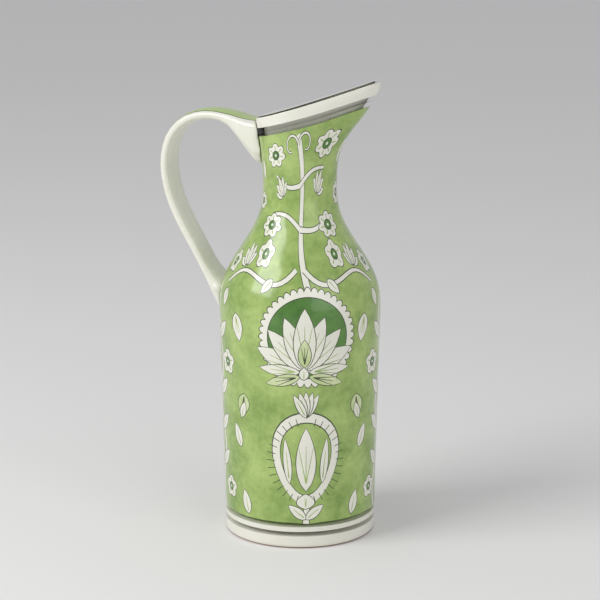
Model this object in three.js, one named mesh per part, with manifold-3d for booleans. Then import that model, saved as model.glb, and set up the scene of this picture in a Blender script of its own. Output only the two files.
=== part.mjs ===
// A tall hand-painted ceramic jug vase: a near-straight body, a round shoulder, a slim neck that opens
// into a slanted pouring lip, and a strap handle from the rim's back down to the shoulder.
// It is built as the ware is built: five clay sections, each formed by itself and luted to the next with
// slip on a stepped seat. Millimetres, +Z up, origin at the centre of the standing face, +X to the lip.

import * as THREE from "three";
import { mergeVertices } from "three/addons/utils/BufferGeometryUtils.js";
import Module from "manifold-3d";

const wasm = await Module();
wasm.setup();

// Driving dimensions
const SLIP = 0.3; // the layer of slip between two luted sections
const WALL = 4.6; // clay and glaze together
const FLOOR_TOP = 7;

const FOOT_EDGE_R = 45.6;
const FOOT_BEVEL = 3;
const FOOT_R = 48.9;
const BODY_TOP_R = 52.3;
const SHOULDER_START_Z = 148; // the wall leaves the straight here
const NECK_R = 23.7;
const NECK_START_Z = 230; // the shoulder's curve ends here, at the narrowest neck

const BASE_JOINT_Z = 8;
const BODY_JOINT_Z = 146;
const NECK_JOINT_Z = 206;
const SEAT_HEIGHT = 4; // how far the inner half of a seat stands above the outer half

const RIM_BACK_Z = 272.5;
const RIM_TIP_Z = 299;
const RIM_SAG = 1.2; // the rim's side dips this much below a straight cut
const RIM_BACK_X = -28.5;
const LIP_REACH = 54.5; // from the axis to the outside of the lip's tip
const RIM_FLARE = 4.8; // all round, from the narrowest neck to the rim's back
const FLARE_START_Z = 232;
const LIP_START_Z = 238;
const LIP_WALL = 4.2;
const RIM_ROUND = 1.9; // the rim's edge is rounded with this radius

const STRAP_WIDTH = 22;
const STRAP_THICK = 7.3;
const UPPER_ROOT_DEPTH = 22; // how much the strap deepens downward where it meets the neck
const UPPER_ROOT_LENGTH = 26;
const LOWER_ROOT_DEPTH = 6;
const LOWER_ROOT_LENGTH = 20;
const LOWER_ROOT_BURIED = 18; // this much of the strap's lower end is trimmed away inside the shoulder
const ROOT_SPREAD = 3; // how much wider each root is than the strap, on each side

// The strap's centre line in the XZ plane, from inside the neck's wall to inside the shoulder's wall.
const STRAP_LINE = [
  [-20, 266.6],
  [-34, 267.6],
  [-48, 270.9],
  [-62.5, 272.1],
  [-77, 267.9],
  [-87.2, 258],
  [-91.8, 245],
  [-92, 232],
  [-88.6, 217],
  [-82, 202],
  [-73, 186.5],
  [-64, 171],
  [-55.5, 157],
  [-46.5, 141],
];

// Facets
const ROUND = 48;
const NECK_LEVELS = 13;
const RIM_LEVELS = 3;
const SHOULDER_LEVELS = 10;
const STRAP_STATIONS = 32;
const STRAP_SIDES = 14;
const TRIM_LEVELS = 60;

const EARTHENWARE = { roughness: 0.25, metalness: 0 };
const GLAZED_WHITE = new THREE.MeshStandardMaterial({ color: 0xe9e7dc, ...EARTHENWARE });
const GLAZED_GREEN = new THREE.MeshStandardMaterial({ color: 0x7d9b4c, ...EARTHENWARE });

const clamp01 = (t) => Math.min(1, Math.max(0, t));

// An S-curve from 0 to 1 whose ends are flat and uncurved, so that it leaves a straight wall unseen.
function softStep(t) {
  const x = clamp01(t);
  return x * x * x * (x * (6 * x - 15) + 10);
}

// An S-curve from 0 to 1 that starts slowly and ends flat.
function lateStep(t) {
  const x = clamp01(t) ** 1.3;
  return x * x * (3 - 2 * x);
}

// The outer radius of the round part of the jug at height z, without the flare of the rim.
function roundRadius(z) {
  const straight = FOOT_R + ((BODY_TOP_R - FOOT_R) * (z - BASE_JOINT_Z)) / (SHOULDER_START_Z - BASE_JOINT_Z);
  const body = Math.min(straight, BODY_TOP_R);
  const turn = softStep((z - SHOULDER_START_Z) / (NECK_START_Z - SHOULDER_START_Z));
  return body + (NECK_R - body) * turn;
}

// The lip's outline seen from above: 1 towards +X, falling to 0 by the sides, with a narrower nose on it.
function lipShare(angle) {
  const ahead = (1 + Math.cos(angle)) / 2;
  return 0.62 * ahead ** 8 + 0.38 * ahead ** 34;
}

// The outer radius of the neck and lip at an angle round the axis and a height.
function neckRadius(angle, z) {
  const flare = RIM_FLARE * clamp01((z - FLARE_START_Z) / (RIM_BACK_Z - FLARE_START_Z)) ** 1.6;
  const reach = LIP_REACH - NECK_R - RIM_FLARE;
  const lip = reach * lateStep((z - LIP_START_Z) / (RIM_TIP_Z - LIP_START_Z));
  return roundRadius(z) + flare + lip * lipShare(angle);
}

// The height of the rim's edge at an angle: a slanted cut with a little sag, solved for where it meets the wall.
function rimHeight(angle) {
  let z = RIM_BACK_Z;
  for (let i = 0; i < 12; i++) {
    const x = neckRadius(angle, z) * Math.cos(angle);
    const t = clamp01((x - RIM_BACK_X) / (LIP_REACH - RIM_BACK_X));
    const cut = RIM_BACK_Z + (RIM_TIP_Z - RIM_BACK_Z) * t - RIM_SAG * 4 * t * (1 - t);
    z += 0.6 * (cut - z);
  }
  return z;
}

// A closed skin over rings of points, each ring with as many points, capped by a fan at both ends.
function skin(rings) {
  const count = rings[0].length;
  const positions = rings.flat().flatMap((p) => [p.x, p.y, p.z]);
  const index = [];
  for (let i = 0; i + 1 < rings.length; i++) {
    for (let j = 0; j < count; j++) {
      const a = i * count + j;
      const b = i * count + ((j + 1) % count);
      index.push(a, b, b + count, a, b + count, a + count);
    }
  }
  for (const [ring, outward] of [
    [0, false],
    [rings.length - 1, true],
  ]) {
    const middle = rings[ring].reduce((sum, p) => sum.add(p), new THREE.Vector3()).divideScalar(count);
    const centre = positions.length / 3;
    positions.push(middle.x, middle.y, middle.z);
    for (let j = 0; j < count; j++) {
      const a = ring * count + j;
      const b = ring * count + ((j + 1) % count);
      index.push(...(outward ? [a, b, centre] : [b, a, centre]));
    }
  }
  const geometry = new THREE.BufferGeometry();
  geometry.setAttribute("position", new THREE.Float32BufferAttribute(positions, 3));
  geometry.setIndex(index);
  return geometry;
}

// A closed tube of rings whose last ring joins its first, for a wall that is open at both ends.
function loop(rings) {
  const count = rings[0].length;
  const index = [];
  for (let i = 0; i < rings.length; i++) {
    const next = (i + 1) % rings.length;
    for (let j = 0; j < count; j++) {
      const k = (j + 1) % count;
      index.push(i * count + j, i * count + k, next * count + k);
      index.push(i * count + j, next * count + k, next * count + j);
    }
  }
  const positions = rings.flat().flatMap((p) => [p.x, p.y, p.z]);
  const geometry = new THREE.BufferGeometry();
  geometry.setAttribute("position", new THREE.Float32BufferAttribute(positions, 3));
  geometry.setIndex(index);
  return geometry;
}

// A solid of revolution about Z from [radius, height] points that run upwards on the outside.
function turned(profile) {
  const geometry = new THREE.LatheGeometry(
    profile.map(([r, z]) => new THREE.Vector2(r, z)),
    ROUND,
  );
  return geometry.rotateX(Math.PI / 2);
}

function solid(geometry) {
  const bare = geometry.clone();
  bare.deleteAttribute("normal");
  bare.deleteAttribute("uv");
  const merged = mergeVertices(bare, 1e-4);
  const vertProperties = merged.attributes.position.array;
  const triVerts = new Uint32Array(merged.index.array);
  return new wasm.Manifold(new wasm.Mesh({ numProp: 3, vertProperties, triVerts }));
}

function geometryOf(manifold) {
  const made = manifold.getMesh();
  const geometry = new THREE.BufferGeometry();
  geometry.setAttribute("position", new THREE.BufferAttribute(made.vertProperties, 3));
  geometry.setIndex(new THREE.BufferAttribute(made.triVerts, 1));
  return geometry;
}

// The clay is cut in half at a seat: the inner half of the lower section stands up inside the upper one.
function seatRadius(z) {
  return roundRadius(z) - WALL / 2;
}

function levels(from, to, count) {
  return Array.from({ length: count + 1 }, (_, i) => from + ((to - from) * i) / count);
}

// The foot: a turned disc with a bevelled edge, and a raised ring that the body's wall drops over.
function foot() {
  const ringTop = BASE_JOINT_Z + SEAT_HEIGHT;
  const ringR = seatRadius(ringTop);
  const inner = roundRadius(ringTop) - WALL;
  return turned([
    [0, 0],
    [FOOT_EDGE_R, 0],
    [FOOT_EDGE_R + FOOT_BEVEL * 0.72, FOOT_BEVEL * 0.42],
    [FOOT_R - 0.25, FOOT_BEVEL * 1.15],
    [FOOT_R, BASE_JOINT_Z],
    [ringR, BASE_JOINT_Z],
    [ringR, ringTop],
    [inner, ringTop],
    [inner - 1.2, FLOOR_TOP + 1.4],
    [inner - 4.2, FLOOR_TOP],
    [0, FLOOR_TOP],
  ]);
}

// The body: a straight wall that widens a little upwards, with a seat cut into both ends.
function body() {
  const bottom = BASE_JOINT_Z + SLIP;
  const lowerSeat = BASE_JOINT_Z + SEAT_HEIGHT + SLIP;
  const upperSeat = BODY_JOINT_Z + SEAT_HEIGHT;
  const outside = levels(bottom, BODY_JOINT_Z, 1).map((z) => [roundRadius(z), z]);
  const inside = levels(upperSeat, lowerSeat, 2).map((z) => [roundRadius(z) - WALL, z]);
  return turned([
    ...outside,
    [seatRadius(BODY_JOINT_Z), BODY_JOINT_Z],
    [seatRadius(BODY_JOINT_Z), upperSeat],
    ...inside,
    [seatRadius(BASE_JOINT_Z + SEAT_HEIGHT) + SLIP, lowerSeat],
    [seatRadius(BASE_JOINT_Z + SEAT_HEIGHT) + SLIP, bottom],
    [roundRadius(bottom), bottom],
  ]);
}

// The shoulder: a dome that turns from the body's wall into the foot of the neck.
function shoulder() {
  const bottom = BODY_JOINT_Z + SLIP;
  const lowerSeat = BODY_JOINT_Z + SEAT_HEIGHT + SLIP;
  const upperSeat = NECK_JOINT_Z + SEAT_HEIGHT;
  const outside = levels(bottom, NECK_JOINT_Z, SHOULDER_LEVELS).map((z) => [roundRadius(z), z]);
  const inside = levels(upperSeat, lowerSeat, SHOULDER_LEVELS).map((z) => [innerShoulder(z), z]);
  const neckSeat = seatRadius(upperSeat);
  return turned([
    ...outside,
    [neckSeat, NECK_JOINT_Z],
    [neckSeat, upperSeat],
    ...inside,
    [seatRadius(BODY_JOINT_Z) + SLIP, lowerSeat],
    [seatRadius(BODY_JOINT_Z) + SLIP, bottom],
    [roundRadius(bottom), bottom],
  ]);
}

// The dome's inside: the outside moved down the slope, so that the clay stays equally thick on it.
function innerShoulder(z) {
  const slope = (roundRadius(z - 1) - roundRadius(z + 1)) / 2;
  return roundRadius(z) - WALL * Math.hypot(1, slope);
}

// The neck and lip: a thrown tube, pulled forward into a lip and cut on a slant, with a rounded edge.
function neck() {
  const bottom = NECK_JOINT_Z + SLIP;
  const seat = NECK_JOINT_Z + SEAT_HEIGHT + SLIP;
  const seatR = seatRadius(NECK_JOINT_Z + SEAT_HEIGHT) + SLIP;
  const around = Array.from({ length: ROUND }, (_, j) => (2 * Math.PI * j) / ROUND);
  const ring = (at) =>
    around.map((angle) => {
      const [r, z] = at(angle);
      return new THREE.Vector3(r * Math.cos(angle), r * Math.sin(angle), z);
    });
  const rings = [];
  for (const t of levels(0, 1, NECK_LEVELS)) {
    rings.push(
      ring((angle) => {
        const z = bottom + (rimHeight(angle) - RIM_ROUND - bottom) * t;
        return [neckRadius(angle, z), z];
      }),
    );
  }
  for (let i = 1; i < RIM_LEVELS * 2; i++) {
    const turn = (Math.PI * i) / (RIM_LEVELS * 2);
    rings.push(
      ring((angle) => {
        const edge = rimHeight(angle) - RIM_ROUND;
        const inward = ((1 - Math.cos(turn)) / 2) * LIP_WALL;
        return [neckRadius(angle, edge) - inward, edge + RIM_ROUND * Math.sin(turn)];
      }),
    );
  }
  for (const t of levels(1, 0, NECK_LEVELS)) {
    rings.push(
      ring((angle) => {
        const z = seat + (rimHeight(angle) - RIM_ROUND - seat) * t;
        return [neckRadius(angle, z) - LIP_WALL, z];
      }),
    );
  }
  rings.push(ring(() => [seatR, seat]));
  rings.push(ring(() => [seatR, bottom]));
  return loop(rings);
}

// One point of the strap's D-shaped section: a domed outer face and a nearly flat inner one.
function strapPoint(turn, halfWidth, outer, inner) {
  const across = Math.cos(turn);
  const up = Math.sin(turn);
  const side = Math.sign(across) * Math.abs(across) ** 0.8 * halfWidth;
  const lift = up >= 0 ? up ** 0.9 * outer : -(Math.abs(up) ** 0.55) * inner;
  return [side, lift];
}

// The strap handle, pulled to an even strap and deepened at both roots, before it is trimmed.
function strap() {
  const line = new THREE.CatmullRomCurve3(
    STRAP_LINE.map(([x, z]) => new THREE.Vector3(x, 0, z)),
    false,
    "centripetal",
  );
  const neckX = -neckRadius(Math.PI, STRAP_LINE[0][1]);
  const length = line.getLength();
  const rings = [];
  for (let i = 0; i <= STRAP_STATIONS; i++) {
    const t = i / STRAP_STATIONS;
    const at = line.getPointAt(t);
    const along = line.getTangentAt(t);
    const outward = new THREE.Vector3(-along.z, 0, along.x).negate();
    const fromNeck = clamp01(1 - (neckX - at.x) / UPPER_ROOT_LENGTH) * (t < 0.5 ? 1 : 0);
    const fromShoulder = clamp01(1 - ((1 - t) * length - LOWER_ROOT_BURIED) / LOWER_ROOT_LENGTH);
    const upper = fromNeck ** 2;
    const lower = fromShoulder ** 2;
    const halfWidth = STRAP_WIDTH / 2 + ROOT_SPREAD * Math.max(upper, lower);
    const outer = STRAP_THICK / 2;
    const inner = STRAP_THICK / 2 + UPPER_ROOT_DEPTH * upper + LOWER_ROOT_DEPTH * lower;
    rings.push(
      Array.from({ length: STRAP_SIDES }, (_, j) => {
        const [side, lift] = strapPoint((-2 * Math.PI * j) / STRAP_SIDES, halfWidth, outer, inner);
        return at.clone().addScaledVector(outward, lift).add(new THREE.Vector3(0, side, 0));
      }),
    );
  }
  return skin(rings);
}

// The jug's outside as one solid, grown by the layer of slip, which the handle's roots are trimmed to.
function outsideOfJug() {
  const around = Array.from({ length: ROUND }, (_, j) => (2 * Math.PI * j) / ROUND);
  const rings = levels(0, 1, TRIM_LEVELS).map((t) =>
    around.map((angle) => {
      const z = BASE_JOINT_Z + (RIM_TIP_Z - BASE_JOINT_Z) * t;
      const r = (z > NECK_JOINT_Z ? neckRadius(angle, z) : roundRadius(z)) + SLIP;
      return new THREE.Vector3(r * Math.cos(angle), r * Math.sin(angle), z);
    }),
  );
  return solid(skin(rings));
}

function handle() {
  return geometryOf(solid(strap()).subtract(outsideOfJug()));
}

function piece(name, geometry, material) {
  const mesh = new THREE.Mesh(geometry, material);
  mesh.name = name;
  return mesh;
}

const jug = new THREE.Group();
jug.add(
  piece("foot", foot(), GLAZED_WHITE),
  piece("body", body(), GLAZED_GREEN),
  piece("shoulder", shoulder(), GLAZED_GREEN),
  piece("neck_and_lip", neck(), GLAZED_GREEN),
  piece("handle", handle(), GLAZED_WHITE),
);

export default jug;
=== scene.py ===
"""A hand-painted ceramic jug vase: painted body, shoulder and neck, a strap handle and a foot."""

import logging
import math
from dataclasses import dataclass, field
from enum import IntEnum

import bmesh
import bpy
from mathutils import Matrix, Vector
from mathutils.geometry import delaunay_2d_cdt

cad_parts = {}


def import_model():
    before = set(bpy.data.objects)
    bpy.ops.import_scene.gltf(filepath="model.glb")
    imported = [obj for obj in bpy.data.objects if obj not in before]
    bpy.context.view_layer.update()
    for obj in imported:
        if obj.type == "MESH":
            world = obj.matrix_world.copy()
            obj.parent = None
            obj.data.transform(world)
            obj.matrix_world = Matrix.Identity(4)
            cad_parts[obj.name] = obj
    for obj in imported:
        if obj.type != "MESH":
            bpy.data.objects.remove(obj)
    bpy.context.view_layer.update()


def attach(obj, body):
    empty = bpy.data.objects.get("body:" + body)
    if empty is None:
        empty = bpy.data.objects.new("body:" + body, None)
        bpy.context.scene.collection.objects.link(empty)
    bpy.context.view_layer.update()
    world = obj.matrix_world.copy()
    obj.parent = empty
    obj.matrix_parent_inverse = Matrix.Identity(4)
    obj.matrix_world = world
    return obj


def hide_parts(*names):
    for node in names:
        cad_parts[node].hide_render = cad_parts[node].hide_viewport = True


LOG = logging.getLogger("jug_vase")
MM = 0.001
Point = tuple[float, float]
Colour = tuple[float, float, float]

COAT_WEIGHT = 0.35
COAT_ROUGHNESS = 0.07
POOL_DETAIL = 5
POOL_ROUGHNESS = 0.62
STREAKS_PER_POOL = 6
STREAK_DETAIL = 3
STREAK_SHARE = 0.3
THIN_BELOW = 0.48
FULL_ABOVE = 0.84
PEEL_STRENGTH = 0.12
PEEL_DEPTH = 0.4 * MM
RIM_SOLVE_STEPS = 12
RIM_SOLVE_SHARE = 0.6
CUT_TOLERANCE_MM = 1e-4
WELD = 2e-6
CAD_WELD = 1e-5

class Paint(IntEnum):
    """The colours that the potter's brush lays on the clay, in slot order."""

    GREEN = 0
    LINE = 1
    WHITE = 2
    DEEP = 3
    WASH = 4


@dataclass(frozen=True)
class Glaze:
    """One painted colour under the clear glaze.

    Attributes:
        name: The material's name.
        thin: The colour where the brush left little paint.
        full: The colour where the paint pooled.
        roughness: How dull the glaze is there.
        pool_mm: The size of the pools.
    """

    name: str
    thin: Colour
    full: Colour
    roughness: float = 0.2
    pool_mm: float = 22.0

    def material(self) -> bpy.types.Material:
        """Build the node material.

        Returns:
            The material, with a watery mix of its two colours and a faint orange-peel bump.
        """
        made = bpy.data.materials.new(self.name)
        made.use_nodes = True
        nodes, links = made.node_tree.nodes, made.node_tree.links
        shader = nodes["Principled BSDF"]
        shader.inputs["Roughness"].default_value = self.roughness
        shader.inputs["Coat Weight"].default_value = COAT_WEIGHT
        shader.inputs["Coat Roughness"].default_value = COAT_ROUGHNESS
        where = nodes.new("ShaderNodeTexCoord")
        pools = nodes.new("ShaderNodeTexNoise")
        pools.inputs["Scale"].default_value = 1 / (self.pool_mm * MM)
        pools.inputs["Detail"].default_value = POOL_DETAIL
        pools.inputs["Roughness"].default_value = POOL_ROUGHNESS
        streaks = nodes.new("ShaderNodeTexNoise")
        streaks.inputs["Scale"].default_value = STREAKS_PER_POOL / (self.pool_mm * MM)
        streaks.inputs["Detail"].default_value = STREAK_DETAIL
        blend = nodes.new("ShaderNodeMath")
        blend.operation = "MULTIPLY_ADD"
        blend.inputs[1].default_value = STREAK_SHARE
        ramp = nodes.new("ShaderNodeMapRange")
        ramp.inputs["From Min"].default_value = THIN_BELOW
        ramp.inputs["From Max"].default_value = FULL_ABOVE
        mix = nodes.new("ShaderNodeMix")
        mix.data_type = "RGBA"
        mix.inputs["A"].default_value = (*self.thin, 1)
        mix.inputs["B"].default_value = (*self.full, 1)
        bump = nodes.new("ShaderNodeBump")
        bump.inputs["Strength"].default_value = PEEL_STRENGTH
        bump.inputs["Distance"].default_value = PEEL_DEPTH
        for noise in (pools, streaks):
            links.new(where.outputs["Object"], noise.inputs["Vector"])
        links.new(streaks.outputs["Fac"], blend.inputs[0])
        links.new(pools.outputs["Fac"], blend.inputs[2])
        links.new(blend.outputs[0], ramp.inputs["Value"])
        links.new(ramp.outputs["Result"], mix.inputs["Factor"])
        links.new(mix.outputs["Result"], shader.inputs["Base Color"])
        links.new(pools.outputs["Fac"], bump.inputs["Height"])
        links.new(bump.outputs["Normal"], shader.inputs["Normal"])
        return made


GLAZES = {
    Paint.GREEN: Glaze("green_glaze", (0.40, 0.53, 0.16), (0.19, 0.31, 0.06)),
    Paint.LINE: Glaze("outline_glaze", (0.055, 0.08, 0.03), (0.025, 0.04, 0.015), pool_mm=6),
    Paint.WHITE: Glaze("white_glaze", (0.80, 0.785, 0.70), (0.74, 0.735, 0.63)),
    Paint.DEEP: Glaze("deep_green_glaze", (0.10, 0.24, 0.04), (0.045, 0.14, 0.018), pool_mm=14),
    Paint.WASH: Glaze("pale_wash_glaze", (0.66, 0.70, 0.44), (0.44, 0.56, 0.22), pool_mm=8),
}
BARE_CLAY: Colour = (0.30, 0.12, 0.06)


@dataclass(frozen=True)
class JugForm:
    """The jug's outside, in millimetres, worked out from the same dimensions as the solids."""

    foot_r: float = 48.9
    body_top_r: float = 52.3
    base_z: float = 8.0
    body_z: float = 146.0
    turn_z: float = 148.0
    neck_joint_z: float = 206.0
    neck_z: float = 230.0
    neck_r: float = 23.7
    rim_back_z: float = 272.5
    rim_tip_z: float = 299.0
    rim_back_x: float = -28.5
    rim_sag: float = 1.2
    lip_reach: float = 54.5
    rim_flare: float = 4.8
    flare_z: float = 232.0
    lip_z: float = 238.0
    lip_wall: float = 4.2
    rim_round: float = 1.9
    wall: float = 4.6

    def round_radius(self, z: float) -> float:
        """Give the radius of the round part at a height.

        Args:
            z: The height in millimetres.

        Returns:
            The radius in millimetres.
        """
        widening = (self.body_top_r - self.foot_r) * (z - self.base_z) / (self.turn_z - self.base_z)
        straight = self.foot_r + widening
        body = min(straight, self.body_top_r)
        x = min(1.0, max(0.0, (z - self.turn_z) / (self.neck_z - self.turn_z)))
        return body + (self.neck_r - body) * x ** 3 * (x * (6 * x - 15) + 10)

    def neck_radius(self, angle: float, z: float) -> float:
        """Give the radius of the neck and lip at an angle and a height.

        Args:
            angle: The angle round the axis, with the lip at 0.
            z: The height in millimetres.

        Returns:
            The radius in millimetres, with the flare of the rim and the reach of the lip.
        """
        up = min(1.0, max(0.0, (z - self.flare_z) / (self.rim_back_z - self.flare_z)))
        late = min(1.0, max(0.0, (z - self.lip_z) / (self.rim_tip_z - self.lip_z))) ** 1.3
        reach = self.lip_reach - self.neck_r - self.rim_flare
        ahead = (1 + math.cos(angle)) / 2
        share = 0.62 * ahead ** 8 + 0.38 * ahead ** 34
        flare = self.rim_flare * up ** 1.6
        return self.round_radius(z) + flare + reach * late * late * (3 - 2 * late) * share

    def rim_height(self, angle: float) -> float:
        """Give the height of the rim's edge at an angle.

        Args:
            angle: The angle round the axis, with the lip at 0.

        Returns:
            The height in millimetres where the slanted cut meets the wall.
        """
        z = self.rim_back_z
        for _ in range(RIM_SOLVE_STEPS):
            x = self.neck_radius(angle, z) * math.cos(angle)
            t = min(1.0, max(0.0, (x - self.rim_back_x) / (self.lip_reach - self.rim_back_x)))
            slant = (self.rim_tip_z - self.rim_back_z) * t
            cut = self.rim_back_z + slant - self.rim_sag * 4 * t * (1 - t)
            z += RIM_SOLVE_SHARE * (cut - z)
        return z


@dataclass(frozen=True)
class Sheet:
    """The skin unrolled: u runs round the jug and v up it, over the rim and down inside the neck."""

    form: JugForm = JugForm()
    front_deg: float = -68.0
    radius: float = 52.0
    bottom: float = 8.3
    neck_height: float = 75.0
    rim_height: float = 6.0

    @property
    def width(self) -> float:
        """Give the length once round the body."""
        return 2 * math.pi * self.radius

    @property
    def edge(self) -> float:
        """Give v where the outside ends and the rim's rounding starts."""
        return self.form.neck_joint_z + self.neck_height

    @property
    def inner_edge(self) -> float:
        """Give v where the rim's rounding ends and the inside starts."""
        return self.edge + self.rim_height

    @property
    def top(self) -> float:
        """Give the last v, at the bottom of the neck's inside."""
        return self.inner_edge + self.neck_height

    def place(self, u: float, v: float) -> Vector:
        """Put a point of the sheet on the jug.

        Args:
            u: Millimetres round the jug, with the front at half the width.
            v: Millimetres up the sheet.

        Returns:
            The point in metres.
        """
        form = self.form
        angle = math.radians(self.front_deg) + (u - self.width / 2) / self.radius
        joint = form.neck_joint_z
        if v <= joint:
            z = v
            r = form.round_radius(z)
        else:
            edge_z = form.rim_height(angle) - form.rim_round
            if v <= self.edge:
                z = joint + (edge_z - joint) * (v - joint) / self.neck_height
                r = form.neck_radius(angle, z)
            elif v <= self.inner_edge:
                turn = math.pi * (v - self.edge) / self.rim_height
                z = edge_z + form.rim_round * math.sin(turn)
                r = form.neck_radius(angle, edge_z) - form.lip_wall * (1 - math.cos(turn)) / 2
            else:
                z = joint + (edge_z - joint) * (self.top - v) / self.neck_height
                r = form.neck_radius(angle, z) - form.lip_wall
        return Vector((r * math.cos(angle), r * math.sin(angle), z)) * MM


@dataclass
class Artwork:
    """The brushwork, as outlines on the unrolled sheet, the last one on top."""

    sheet: Sheet
    shapes: list[tuple[Paint, list[Point]]] = field(default_factory=list)
    line: float = 0.55

    def lay(self, paint: Paint, outline: list[Point]) -> None:
        """Lay one filled outline.

        Args:
            paint: Its colour.
            outline: Its corners on the sheet, either way round.
        """
        area = sum(a[0] * b[1] - b[0] * a[1] for a, b in zip(outline, outline[1:] + outline[:1]))
        self.shapes.append((paint, outline if area > 0 else outline[::-1]))

    def band(self, paint: Paint, low: float, high: float) -> None:
        """Lay a ring right round the jug."""
        self.lay(paint, [(0, low), (self.sheet.width, low), (self.sheet.width, high), (0, high)])

    def stroke(self, paint: Paint, path: list[Point], start: float, end: float) -> None:
        """Lay a brush stroke along a path.

        Args:
            paint: Its colour.
            path: Its middle line.
            start: Its width at the first point.
            end: Its width at the last point.
        """
        left, right = [], []
        for i, (x, y) in enumerate(path):
            ax, ay = path[max(0, i - 1)]
            bx, by = path[min(len(path) - 1, i + 1)]
            length = math.hypot(bx - ax, by - ay) or 1
            half = (start + (end - start) * i / (len(path) - 1)) / 2
            nx, ny = -(by - ay) / length * half, (bx - ax) / length * half
            left.append((x + nx, y + ny))
            right.append((x - nx, y - ny))
        self.lay(paint, left + right[::-1])

    def vine(self, path: list[Point], start: float = 2.4, end: float = 1.4) -> None:
        """Lay a white stroke with a dark line on both sides.

        Args:
            path: Its middle line.
            start: Its width at the first point.
            end: Its width at the last point.
        """
        self.stroke(Paint.LINE, path, start + 2 * self.line, end + 2 * self.line)
        self.stroke(Paint.WHITE, path, start, end)

    @staticmethod
    def petal_outline(at: Point, turn: float, length: float, width: float, grow: float = 0.0) -> list[Point]:
        """Give a pointed petal's outline.

        Args:
            at: Its base.
            turn: The way it points.
            length: From base to tip.
            width: Across its widest part.
            grow: A margin added all round.

        Returns:
            The outline's corners.
        """
        count = 9
        c, s = math.cos(turn), math.sin(turn)
        points = []
        for side in (1, -1):
            for i in range(count):
                t = i / count if side > 0 else 1 - i / count
                along = -grow + (length + 2 * grow) * t
                across = side * (width / 2 + grow) * math.sin(math.pi * t ** 0.85) ** 0.8 if 0 < t < 1 else 0
                points.append((at[0] + along * c - across * s, at[1] + along * s + across * c))
        return points

    def petal(self, at: Point, turn: float, length: float, width: float, fill: Paint = Paint.WHITE,
              veins: int = 1) -> None:
        """Lay an outlined petal or leaf with veins.

        Args:
            at: Its base.
            turn: The way it points.
            length: From base to tip.
            width: Across its widest part.
            fill: Its colour.
            veins: How many veins it has.
        """
        self.lay(Paint.LINE, self.petal_outline(at, turn, length, width, self.line))
        self.lay(fill, self.petal_outline(at, turn, length, width))
        ink = Paint.GREEN if fill is Paint.WHITE else Paint.LINE
        for i in range(veins):
            lean = turn + (i - (veins - 1) / 2) * 0.2
            start = (at[0] + 0.12 * length * math.cos(turn), at[1] + 0.12 * length * math.sin(turn))
            tip = (start[0] + 0.6 * length * math.cos(lean), start[1] + 0.6 * length * math.sin(lean))
            self.stroke(ink, [start, tip], 0.75, 0.3)

    def lobed(self, paint: Paint, at: Point, r: float, lobes: int, depth: float, turn: float = 0.0) -> None:
        """Lay a disc with a lobed or toothed edge.

        Args:
            paint: Its colour.
            at: Its centre.
            r: Its radius at the lobes' tips.
            lobes: How many lobes it has.
            depth: How far the edge dips between them, as a share of the radius.
            turn: The way the first lobe points.
        """
        count = max(24, lobes * 6)
        outline = []
        for i in range(count):
            a = 2 * math.pi * i / count
            reach = r * (1 - depth * (1 - abs(math.cos(lobes * (a - turn) / 2)) ** 0.7))
            outline.append((at[0] + reach * math.cos(a), at[1] + reach * math.sin(a)))
        self.lay(paint, outline)

    def flower(self, at: Point, r: float, lobes: int = 5, turn: float = math.pi / 2) -> None:
        """Lay a white flower with a green heart and a vein in each petal.

        Args:
            at: Its centre.
            r: Its radius.
            lobes: How many petals it has.
            turn: The way the first petal points.
        """
        self.lobed(Paint.LINE, at, r + self.line, lobes, 0.34, turn)
        self.lobed(Paint.WHITE, at, r, lobes, 0.36, turn)
        for i in range(lobes):
            a = turn + 2 * math.pi * i / lobes
            near = (at[0] + 0.4 * r * math.cos(a), at[1] + 0.4 * r * math.sin(a))
            far = (at[0] + 0.78 * r * math.cos(a), at[1] + 0.78 * r * math.sin(a))
            self.stroke(Paint.GREEN, [near, far], 0.5, 0.9)
        self.lobed(Paint.LINE, at, 0.33 * r + self.line, 6, 0.0)
        self.lobed(Paint.DEEP, at, 0.33 * r, 6, 0.0)
        self.lobed(Paint.WHITE, at, 0.11 * r, 6, 0.0)

    def spray(self, at: Point, turn: float, size: float) -> None:
        """Lay a sprig of five leaves.

        Args:
            at: Where its leaves meet.
            turn: The way the middle leaf points.
            size: The middle leaf's length.
        """
        slimness = 0.3
        for lean, share in ((-0.95, 0.72), (0.95, 0.72), (-0.45, 0.9), (0.45, 0.9), (0.0, 1.0)):
            self.petal(at, turn + lean, size * share, size * slimness)

    def curl(self, at: Point, r: float, side: int) -> None:
        """Lay a curling tendril.

        Args:
            at: Where it leaves the vine.
            r: The radius of its first turn.
            side: 1 to curl to the right, -1 to the left.
        """
        path = []
        for i in range(13):
            a = 1.55 * math.pi * i / 12
            reach = r * (1 - 0.62 * i / 12)
            path.append((at[0] + side * (r - reach * math.cos(a)), at[1] + reach * math.sin(a)))
        self.vine(path, 1.6, 0.8)


def wave(start: Point, end: Point, swing: float, waves: float, steps: int = 16) -> list[Point]:
    """Give a winding path between two points.

    Args:
        start: The first point.
        end: The last point.
        swing: How far it swings out to each side.
        waves: How many half waves it makes.
        steps: How many steps it has.

    Returns:
        The path's points.
    """
    dx, dy = end[0] - start[0], end[1] - start[1]
    length = math.hypot(dx, dy)
    path = []
    for i in range(steps + 1):
        t = i / steps
        off = swing * math.sin(math.pi * waves * t)
        path.append((start[0] + dx * t - dy / length * off, start[1] + dy * t + dx / length * off))
    return path


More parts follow.
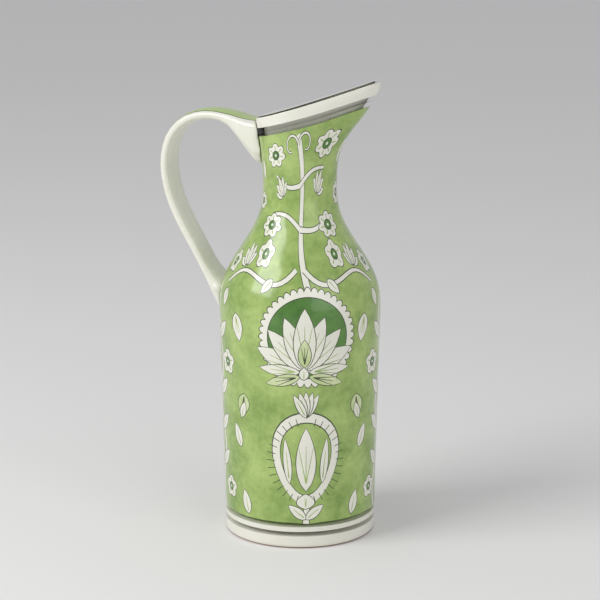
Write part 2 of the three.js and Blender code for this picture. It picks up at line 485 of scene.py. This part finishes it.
@dataclass
class FloralPainting:
    """The jug's painting: a lotus and a seed pod in panels, with flowering vines between them."""

    sheet: Sheet
    panels: int = 2
    seam_margin: float = 0.6
    base_white_top: float = 15.6
    base_lines: tuple[Point, ...] = ((9.0, 10.1), (15.0, 16.1))
    line_under_rim: Point = (10.4, 9.3)
    ring_on_rim: Point = (1.2, 2.4)
    side_flowers: tuple[Point, ...] = ((34, 7.4), (118, 8.2))
    side_leaves: tuple[float, ...] = (52, 76, 100, 138)
    lotus_petals: tuple[Point, ...] = (
        (1.16, 0.98), (-1.16, 0.98), (0.74, 1.0), (-0.74, 1.0), (0.36, 1.04), (-0.36, 1.04),
    )

    def paint(self) -> Artwork:
        """Lay the whole painting.

        Returns:
            The brushwork on the sheet.
        """
        art = Artwork(self.sheet)
        step = self.sheet.width / self.panels
        for panel in range(self.panels):
            centre = (self.sheet.width / 2 + step * panel) % self.sheet.width
            for shift in (-self.sheet.width, 0, self.sheet.width):
                middle = centre + shift
                if -0.5 * step < middle < self.sheet.width + 0.5 * step:
                    self.panel(art, middle)
        art.shapes = [s for s in art.shapes if self.inside(s[1])]
        self.rings(art)
        return art

    def inside(self, outline: list[Point]) -> bool:
        """Say whether an outline keeps clear of the seam at the back."""
        left = min(p[0] for p in outline)
        right = max(p[0] for p in outline)
        return left > self.seam_margin and right < self.sheet.width - self.seam_margin

    def rings(self, art: Artwork) -> None:
        """Lay the lines round the base and the rim, and the white inside."""
        art.band(Paint.WHITE, self.sheet.bottom, self.base_white_top)
        for low, high in self.base_lines:
            art.band(Paint.LINE, low, high)
        edge = self.sheet.edge
        line_low, line_high = edge - self.line_under_rim[0], edge - self.line_under_rim[1]
        art.band(Paint.LINE, line_low, line_high)
        art.band(Paint.WHITE, line_high, self.sheet.top)
        art.band(Paint.DEEP, edge + self.ring_on_rim[0], edge + self.ring_on_rim[1])

    def panel(self, art: Artwork, x: float) -> None:
        """Lay one panel about a centre line."""
        self.neck(art, x)
        self.shoulder(art, x)
        self.sides(art, x)
        self.disc_and_lotus(art, x)
        self.seed_pod(art, x)

    def neck(self, art: Artwork, x: float) -> None:
        """Lay the neck's trunk with its blossoms and sprigs."""
        wide = self.sheet.radius / self.sheet.form.neck_r
        art.vine(wave((x - 2, 265), (x + 6, 168), 3, 2), 5.5, 4)
        for side in (-1, 1):
            art.curl((x - 2, 258), 9, side)
            art.vine(wave((x, 232), (x + side * 34, 240), 4, 1), 3.2, 1.6)
            art.vine(wave((x, 205), (x + side * 38, 214), -4, 1), 3.2, 1.6)
            self.wide_flower(art, (x + side * 34, 254), 8.2, wide)
            art.spray((x + side * 24, 226), math.pi / 2 - side * 0.5, 15)
            self.wide_flower(art, (x + side * 36, 207), 7.6, wide)
            art.petal((x + side * 62, 238), math.pi / 2, 14, 7)
            self.wide_flower(art, (x + side * 66, 222), 6.2, wide)

    def wide_flower(self, art: Artwork, at: Point, r: float, wide: float) -> None:
        """Lay a flower stretched sideways, so that it looks round on the slim neck.

        Args:
            art: The brushwork.
            at: The flower's centre.
            r: Its radius.
            wide: How much narrower the neck is than the sheet.
        """
        first = len(art.shapes)
        art.flower(at, r, 7)
        for i in range(first, len(art.shapes)):
            paint, outline = art.shapes[i]
            art.shapes[i] = (paint, [(at[0] + (px - at[0]) * wide * 0.8, py) for px, py in outline])

    def shoulder(self, art: Artwork, x: float) -> None:
        """Lay the branches and blossoms on the shoulder."""
        for side in (-1, 1):
            art.vine(wave((x + side * 3, 182), (x + side * 62, 170), side * -6, 2), 3, 1.6)
            art.flower((x + side * 32, 190), 8.6)
            art.spray((x + side * 48, 182), math.pi / 2 - side * 0.3, 14)
            art.flower((x + side * 66, 182), 7.0)
            art.petal((x + side * 20, 176), -math.pi / 2 + side * 0.7, 11, 5.5)
            art.petal((x + side * 60, 166), -math.pi / 2 + side * 0.2, 12, 6)

    def disc_and_lotus(self, art: Artwork, x: float) -> None:
        """Lay the toothed halo, the deep green disc and the lotus on it."""
        centre = (x + 5, 140)
        art.lobed(Paint.LINE, centre, 32.6, 40, 0.07)
        art.lobed(Paint.WHITE, centre, 32, 40, 0.09)
        art.lobed(Paint.LINE, centre, 26.4, 20, 0.0)
        art.lobed(Paint.DEEP, centre, 25.8, 20, 0.0)
        base = (x + 3, 119)
        for lean, share in self.lotus_petals:
            art.petal(base, math.pi / 2 + lean, 35 * share, 12, veins=3)
        art.petal(base, math.pi / 2, 40, 14, veins=3)
        art.petal((base[0], base[1] + 2), math.pi / 2, 18, 8, Paint.WASH, 3)
        for side in (-1, 1):
            for k in range(2):
                root = (base[0] + side * 3, base[1] - 1 - 3 * k)
                fill = Paint.WASH if k else Paint.WHITE
                art.petal(root, math.pi / 2 - side * (1.5 + 0.3 * k), 27 - 4 * k, 7, fill, 3)
        art.petal((base[0] - 0.5, base[1] - 6), math.pi / 2, 8, 6)

    def seed_pod(self, art: Artwork, x: float) -> None:
        """Lay the ribbed pod under the lotus, on its stalk with two leaves."""
        base = (x + 4, 30)
        art.vine([(x + 4, 17), (x + 4.5, 24), (x + 4, 32)], 4, 3.4)
        for side in (-1, 1):
            art.petal((base[0], 20), math.pi / 2 - side * 0.9, 15, 6)
        art.lay(Paint.LINE, self.pod_outline(base, 27.5, 62))
        art.lay(Paint.WHITE, self.pod_outline(base, 26.8, 61))
        art.lay(Paint.LINE, self.pod_outline((base[0], base[1] + 6), 20.8, 49))
        art.lay(Paint.GREEN, self.pod_outline((base[0], base[1] + 6.6), 20.2, 47.6))
        for i in range(15):
            a = -0.42 * math.pi + 0.84 * math.pi * i / 14
            for side in (-1, 1):
                near = (base[0] + side * 20.8 * math.cos(a), base[1] + 29 + 24 * math.sin(a))
                far = (base[0] + side * 26.6 * math.cos(a), base[1] + 29 + 29 * math.sin(a))
                art.stroke(Paint.LINE, [near, far], 0.5, 0.5)
        art.petal((base[0], base[1] + 9), math.pi / 2, 42, 13, veins=3)
        for side in (-1, 1):
            art.petal((base[0] + side * 11, base[1] + 14), math.pi / 2 - side * 0.1, 30, 5, veins=1)
        cap = (base[0], base[1] + 58)
        for lean in (-0.5, -0.25, 0.0, 0.25, 0.5):
            art.petal(cap, math.pi / 2 + lean, 17, 4.6, veins=1)
        art.petal((base[0] - 0.2, base[1] - 3), math.pi / 2, 10, 12, Paint.WHITE, 2)

    @staticmethod
    def pod_outline(base: Point, half: float, height: float) -> list[Point]:
        """Give a pod's outline: widest a little above its middle, drawn in to its base.

        Args:
            base: Its lowest point.
            half: Half its width.
            height: Its height.

        Returns:
            The outline's corners.
        """
        points = []
        for i in range(36):
            a = 2 * math.pi * i / 36 - math.pi / 2
            across = half * math.cos(a) * (0.82 + 0.18 * math.sin(a))
            points.append((base[0] + across, base[1] + height * (1 + math.sin(a)) / 2))
        return points

    def sides(self, art: Artwork, x: float) -> None:
        """Lay the vines that climb beside the panel, with their flowers, leaves and buds."""
        for side in (-1, 1):
            far = x + side * 72
            art.vine(wave((far - side * 2, 17), (far, 160), 4.5, 5, 40), 3, 2)
            for z, r in self.side_flowers:
                art.flower((x + side * 58, z), r)
            for z in self.side_leaves:
                art.petal((far, z), math.pi / 2 - side * 0.75, 15, 6.5)
                art.petal((far, z - 6), math.pi / 2 + side * 0.8, 17, 7)
            art.petal((x + side * 47, 152), -math.pi / 2 - side * 0.2, 18, 9, veins=3)
            art.petal((x + side * 40, 100), -math.pi / 2 + side * 0.15, 15, 10, Paint.WASH, 3)
            art.petal((x + side * 38, 20), math.pi / 2 - side * 0.25, 16, 7)
            art.petal((x + side * 44, 64), math.pi / 2 - side * 0.35, 16, 6.5)
            art.petal((x + side * 43, 84), math.pi / 2 + side * 0.3, 11, 5)
            art.flower((x + side * 76, 84 if side > 0 else 92), 5.4)


@dataclass
class PaintedSkins:
    """The painted body, shoulder and neck, cut from one painted sheet."""

    sheet: Sheet
    column_mm: float = 3.0
    row_mm: float = 3.2
    rim_rows: int = 7

    def rows(self) -> list[float]:
        """Give the heights of the sheet's rows, with one on each joint and edge."""
        form, sheet = self.sheet.form, self.sheet
        marks = [sheet.bottom, form.body_z, form.neck_joint_z, sheet.edge, sheet.inner_edge, sheet.top]
        rows = [marks[0]]
        for low, high in zip(marks, marks[1:]):
            count = self.rim_rows if low == sheet.edge else math.ceil((high - low) / self.row_mm)
            rows += [low + (high - low) * (i + 1) / count for i in range(count)]
        return rows

    def triangles(self, art: Artwork) -> tuple[list[Vector], list[list[int]], list[int]]:
        """Cut the sheet along every outline.

        Args:
            art: The brushwork.

        Returns:
            The sheet's points, its triangles, and the paint of each.
        """
        width = self.sheet.width
        columns = round(width / self.column_mm)
        rows = self.rows()
        points = [Vector((width * i / columns, v)) for v in rows for i in range(columns + 1)]
        across = columns + 1
        last = (len(rows) - 1) * across
        faces = [[0, columns, last + columns, last]]
        marks = (self.sheet.form.body_z, self.sheet.form.neck_joint_z, self.sheet.edge, self.sheet.inner_edge)
        edges = [(i * across, i * across + columns) for i, v in enumerate(rows) if v in marks]
        paints = [Paint.GREEN]
        for paint, outline in art.shapes:
            first = len(points)
            points += [Vector(p) for p in outline]
            faces.append(list(range(first, first + len(outline))))
            paints.append(paint)
        made = delaunay_2d_cdt(points, edges, faces, 0, CUT_TOLERANCE_MM, True)
        colours = [int(paints[max(owners)]) if owners else 0 for owners in made[5]]
        return made[0], made[2], colours

    def build(self, art: Artwork) -> dict[str, bpy.types.Object]:
        """Make the three skins and give them their walls.

        Args:
            art: The brushwork.

        Returns:
            The skins by the name of the node that each stands for.
        """
        points, faces, colours = self.triangles(art)
        form = self.sheet.form
        spans = {
            "body": (self.sheet.bottom, form.body_z),
            "shoulder": (form.body_z, form.neck_joint_z),
            "neck_and_lip": (form.neck_joint_z, self.sheet.top),
        }
        materials = [GLAZES[paint].material() for paint in Paint]
        skins = {}
        for node, (low, high) in spans.items():
            chosen = [i for i, f in enumerate(faces) if low < sum(points[k].y for k in f) / len(f) < high]
            used = sorted({k for i in chosen for k in faces[i]})
            index = {k: n for n, k in enumerate(used)}
            mesh = bpy.data.meshes.new(f"painted_{node}")
            mesh.from_pydata(
                [self.sheet.place(points[k].x, points[k].y) for k in used], [],
                [[index[k] for k in faces[i]] for i in chosen],
            )
            for material in materials:
                mesh.materials.append(material)
            layer = mesh.uv_layers.new(name="OFBake")
            for n, i in enumerate(chosen):
                polygon = mesh.polygons[n]
                polygon.material_index = colours[i]
                polygon.use_smooth = True
                for loop, k in zip(polygon.loop_indices, faces[i]):
                    layer.data[loop].uv = (points[k].x / self.sheet.width, (points[k].y - low) / (high - low))
            skins[node] = self.walled(mesh, node)
        return skins

    def walled(self, mesh: bpy.types.Mesh, node: str) -> bpy.types.Object:
        """Close a skin into a wall with thickness.

        Args:
            mesh: The open skin.
            node: The node that it stands for.

        Returns:
            The closed piece.
        """
        shape = bmesh.new()
        shape.from_mesh(mesh)
        bmesh.ops.remove_doubles(shape, verts=shape.verts, dist=WELD)
        if node == "neck_and_lip":
            ends = [e for e in shape.edges if e.is_boundary]
            bmesh.ops.bridge_loops(shape, edges=ends)
            bmesh.ops.recalc_face_normals(shape, faces=shape.faces)
        shape.to_mesh(mesh)
        shape.free()
        piece = bpy.data.objects.new(f"painted_{node}", mesh)
        bpy.context.scene.collection.objects.link(piece)
        if node != "neck_and_lip":
            wall = piece.modifiers.new("wall", "SOLIDIFY")
            wall.thickness = self.sheet.form.wall * MM
            wall.offset = -1
            Bench.apply(piece)
        Bench.smooth(piece)
        return piece


class Bench:
    """Small jobs on a piece."""

    @staticmethod
    def pick(piece: bpy.types.Object) -> None:
        """Select one piece alone."""
        bpy.ops.object.select_all(action="DESELECT")
        piece.select_set(True)
        bpy.context.view_layer.objects.active = piece

    @staticmethod
    def apply(piece: bpy.types.Object) -> None:
        """Apply all of a piece's modifiers."""
        Bench.pick(piece)
        for modifier in list(piece.modifiers):
            bpy.ops.object.modifier_apply(modifier=modifier.name)

    @staticmethod
    def smooth(piece: bpy.types.Object, degrees: float = 40) -> None:
        """Shade a piece smooth, with its sharp edges kept."""
        Bench.pick(piece)
        bpy.ops.object.shade_smooth_by_angle(angle=math.radians(degrees))

    @staticmethod
    def stand_for(piece: bpy.types.Object, node: str, slot: str) -> None:
        """Put a piece in place of its node.

        Args:
            piece: The finished piece.
            node: The node that it stands for.
            slot: Not used.
        """
        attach(piece, "root")
        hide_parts(node)
        LOG.info("%s: %d faces", piece.name, len(piece.data.polygons))


@dataclass
class StrapHandle:
    """The pulled strap, white with a green stripe down its back."""

    voxel: float = 0.8 * MM
    stripe_half_mm: float = 8.2
    outline_mm: float = 0.7
    stripe_floor_mm: float = 1.1
    outline_floor_mm: float = 0.6
    brush_edge_mm: float = 0.15
    line: tuple[Point, ...] = (
        (-20, 266.6), (-34, 267.6), (-48, 270.9), (-62.5, 272.1), (-77, 267.9), (-87.2, 258), (-91.8, 245),
        (-92, 232), (-88.6, 217), (-82, 202), (-73, 186.5), (-64, 171), (-55.5, 157), (-46.5, 141),
    )

    def build(self) -> bpy.types.Object:
        """Make the strap's fine, soft-edged mesh from its solid.

        Returns:
            The handle.
        """
        mesh = bpy.data.objects["handle"].data.copy()
        mesh.name = "strap_handle"
        shape = bmesh.new()
        shape.from_mesh(mesh)
        bmesh.ops.remove_doubles(shape, verts=shape.verts, dist=CAD_WELD)
        shape.to_mesh(mesh)
        shape.free()
        piece = bpy.data.objects.new("strap_handle", mesh)
        bpy.context.scene.collection.objects.link(piece)
        remesh = piece.modifiers.new("clay", "REMESH")
        remesh.mode = "VOXEL"
        remesh.voxel_size = self.voxel
        soften = piece.modifiers.new("soften", "SMOOTH")
        soften.factor = 0.5
        soften.iterations = 8
        Bench.apply(piece)
        Bench.smooth(piece, 80)
        self.mark(piece.data)
        self.dress(piece)
        return piece

    def mark(self, mesh: bpy.types.Mesh) -> None:
        """Store how far each point lies outside the strap's centre line, in millimetres."""
        lift = mesh.attributes.new("lift", "FLOAT", "POINT")
        for i, vertex in enumerate(mesh.vertices):
            x, z = vertex.co.x / MM, vertex.co.z / MM
            best, value = 1e9, 0.0
            for (ax, az), (bx, bz) in zip(self.line, self.line[1:]):
                dx, dz = bx - ax, bz - az
                t = min(1.0, max(0.0, ((x - ax) * dx + (z - az) * dz) / (dx * dx + dz * dz)))
                ox, oz = x - ax - dx * t, z - az - dz * t
                if math.hypot(ox, oz) < best:
                    best = math.hypot(ox, oz)
                    value = (ox * dz - oz * dx) / math.hypot(dx, dz)
            lift.data[i].value = value

    def dress(self, piece: bpy.types.Object) -> None:
        """Glaze the strap."""
        white, green, dark = GLAZES[Paint.WHITE], GLAZES[Paint.GREEN], GLAZES[Paint.LINE]
        made = Glaze("handle_glaze", white.thin, white.full).material()
        piece.data.materials.clear()
        piece.data.materials.append(made)
        nodes, links = made.node_tree.nodes, made.node_tree.links
        shader = nodes["Principled BSDF"]
        ground = shader.inputs["Base Color"].links[0].from_socket
        lift = nodes.new("ShaderNodeAttribute")
        lift.attribute_name = "lift"
        where = nodes.new("ShaderNodeTexCoord")
        split = nodes.new("ShaderNodeSeparateXYZ")
        links.new(where.outputs["Object"], split.inputs[0])
        side = nodes.new("ShaderNodeMath")
        side.operation = "ABSOLUTE"
        links.new(split.outputs["Y"], side.inputs[0])
        for colour, half, floor in (
            (dark.thin, self.stripe_half_mm + self.outline_mm, self.outline_floor_mm),
            (green.thin, self.stripe_half_mm, self.stripe_floor_mm),
        ):
            within = nodes.new("ShaderNodeMapRange")
            within.inputs["From Min"].default_value = (half + self.brush_edge_mm) * MM
            within.inputs["From Max"].default_value = (half - self.brush_edge_mm) * MM
            links.new(side.outputs[0], within.inputs["Value"])
            above = nodes.new("ShaderNodeMapRange")
            above.inputs["From Min"].default_value = floor - self.brush_edge_mm
            above.inputs["From Max"].default_value = floor + self.brush_edge_mm
            links.new(lift.outputs["Fac"], above.inputs["Value"])
            both = nodes.new("ShaderNodeMath")
            both.operation = "MULTIPLY"
            links.new(within.outputs["Result"], both.inputs[0])
            links.new(above.outputs["Result"], both.inputs[1])
            mix = nodes.new("ShaderNodeMix")
            mix.data_type = "RGBA"
            mix.inputs["B"].default_value = (*colour, 1)
            links.new(both.outputs[0], mix.inputs["Factor"])
            links.new(ground, mix.inputs["A"])
            ground = mix.outputs["Result"]
        links.new(ground, shader.inputs["Base Color"])


@dataclass
class TurnedFoot:
    """The white foot, bevelled where it meets the table, with bare clay on its standing face."""

    radius: float = 48.9 * MM
    height: float = 8.0 * MM
    bevel: float = 3.0 * MM
    clay_top: float = 0.9 * MM
    clay_fade: float = 0.2 * MM

    def build(self) -> bpy.types.Object:
        """Turn the foot.

        Returns:
            The foot.
        """
        bpy.ops.object.select_all(action="DESELECT")
        bpy.ops.mesh.primitive_cylinder_add(
            vertices=128, radius=self.radius, depth=self.height, location=(0, 0, self.height / 2))
        piece = bpy.context.object
        piece.name = "turned_foot"
        bpy.ops.object.transform_apply(location=True, rotation=True, scale=True)
        bpy.ops.object.mode_set(mode="EDIT")
        shape = bmesh.from_edit_mesh(piece.data)
        for element in (*shape.faces, *shape.edges, *shape.verts):
            element.select = False
        for edge in shape.edges:
            edge.select = all(v.co.z < 1e-6 for v in edge.verts)
        shape.select_flush_mode()
        bmesh.update_edit_mesh(piece.data)
        bpy.ops.mesh.bevel(offset=self.bevel, segments=6)
        bpy.ops.object.mode_set(mode="OBJECT")
        Bench.smooth(piece)
        self.dress(piece)
        return piece

    def dress(self, piece: bpy.types.Object) -> None:
        """Glaze the foot, but for its standing face."""
        white = GLAZES[Paint.WHITE]
        made = Glaze("foot_glaze", white.thin, white.full).material()
        nodes, links = made.node_tree.nodes, made.node_tree.links
        shader = nodes["Principled BSDF"]
        ground = shader.inputs["Base Color"].links[0].from_socket
        where = nodes.new("ShaderNodeTexCoord")
        split = nodes.new("ShaderNodeSeparateXYZ")
        bare = nodes.new("ShaderNodeMapRange")
        bare.inputs["From Min"].default_value = self.clay_top + self.clay_fade
        bare.inputs["From Max"].default_value = self.clay_top - self.clay_fade
        mix = nodes.new("ShaderNodeMix")
        mix.data_type = "RGBA"
        mix.inputs["B"].default_value = (*BARE_CLAY, 1)
        links.new(where.outputs["Object"], split.inputs[0])
        links.new(split.outputs["Z"], bare.inputs["Value"])
        links.new(bare.outputs["Result"], mix.inputs["Factor"])
        links.new(ground, mix.inputs["A"])
        links.new(mix.outputs["Result"], shader.inputs["Base Color"])
        piece.data.materials.clear()
        piece.data.materials.append(made)


@dataclass
class Studio:
    """The pale floor, the soft light and the camera."""

    azimuth_deg: float = 22.0
    elevation_deg: float = 13.0
    distance: float = 1.46
    lens: float = 135.0
    look_at: tuple[float, float, float] = (0.0, 0.0, 0.153)
    lamps_face: tuple[float, float, float] = (0.0, 0.0, 0.15)
    sky: Colour = (0.95, 0.96, 1.0)
    sky_strength: float = 0.55
    floor_colour: Colour = (0.82, 0.81, 0.79)
    floor_size: float = 12.0

    def build(self) -> None:
        """Set up the stage."""
        scene = bpy.context.scene
        scene.view_settings.view_transform = "Standard"
        self.floor()
        self.camera()
        self.lamp("key", (-0.9, -1.1, 1.1), 1.0, 17.0)
        self.lamp("fill", (1.3, -0.8, 0.7), 1.2, 5.0)
        world = bpy.data.worlds.new("studio")
        scene.world = world
        world.use_nodes = True
        back = world.node_tree.nodes["Background"]
        back.inputs["Color"].default_value = (*self.sky, 1)
        back.inputs["Strength"].default_value = self.sky_strength

    def floor(self) -> None:
        """Lay the pale floor."""
        bpy.ops.object.select_all(action="DESELECT")
        bpy.ops.mesh.primitive_plane_add(size=self.floor_size, location=(0, 0, 0))
        floor = bpy.context.object
        floor.name = "floor"
        made = bpy.data.materials.new("floor")
        made.use_nodes = True
        shader = made.node_tree.nodes["Principled BSDF"]
        shader.inputs["Base Color"].default_value = (*self.floor_colour, 1)
        shader.inputs["Roughness"].default_value = 0.8
        floor.data.materials.append(made)

    def camera(self) -> None:
        """Place the camera at the photograph's angle."""
        turn = math.radians(self.azimuth_deg)
        rise = math.radians(self.elevation_deg)
        target = Vector(self.look_at)
        away = Vector((math.sin(turn) * math.cos(rise), -math.cos(turn) * math.cos(rise), math.sin(rise)))
        data = bpy.data.cameras.new("camera")
        data.lens = self.lens
        data.sensor_width = 36
        camera = bpy.data.objects.new("camera", data)
        camera.location = target + away * self.distance
        camera.rotation_euler = (-away).to_track_quat("-Z", "Y").to_euler()
        bpy.context.scene.collection.objects.link(camera)
        bpy.context.scene.camera = camera

    def lamp(self, name: str, at: tuple[float, float, float], size: float, power: float) -> None:
        """Hang one soft lamp that faces the jug.

        Args:
            name: Its name.
            at: Its place in metres.
            size: The side of its square in metres.
            power: Its power in watts.
        """
        data = bpy.data.lights.new(name, "AREA")
        data.energy = power
        data.size = size
        lamp = bpy.data.objects.new(name, data)
        lamp.location = at
        lamp.rotation_euler = (Vector(self.lamps_face) - Vector(at)).to_track_quat("-Z", "Y").to_euler()
        bpy.context.scene.collection.objects.link(lamp)


def main() -> None:
    """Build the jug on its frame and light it."""
    logging.basicConfig(level=logging.INFO, format="%(message)s")
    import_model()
    Studio().build()
    sheet = Sheet()
    skins = PaintedSkins(sheet).build(FloralPainting(sheet).paint())
    for node, skin in skins.items():
        Bench.stand_for(skin, node, "painted_glaze")
    Bench.stand_for(StrapHandle().build(), "handle", "handle_glaze")
    Bench.stand_for(TurnedFoot().build(), "foot", "foot_glaze")


if __name__ == "__main__":
    main()
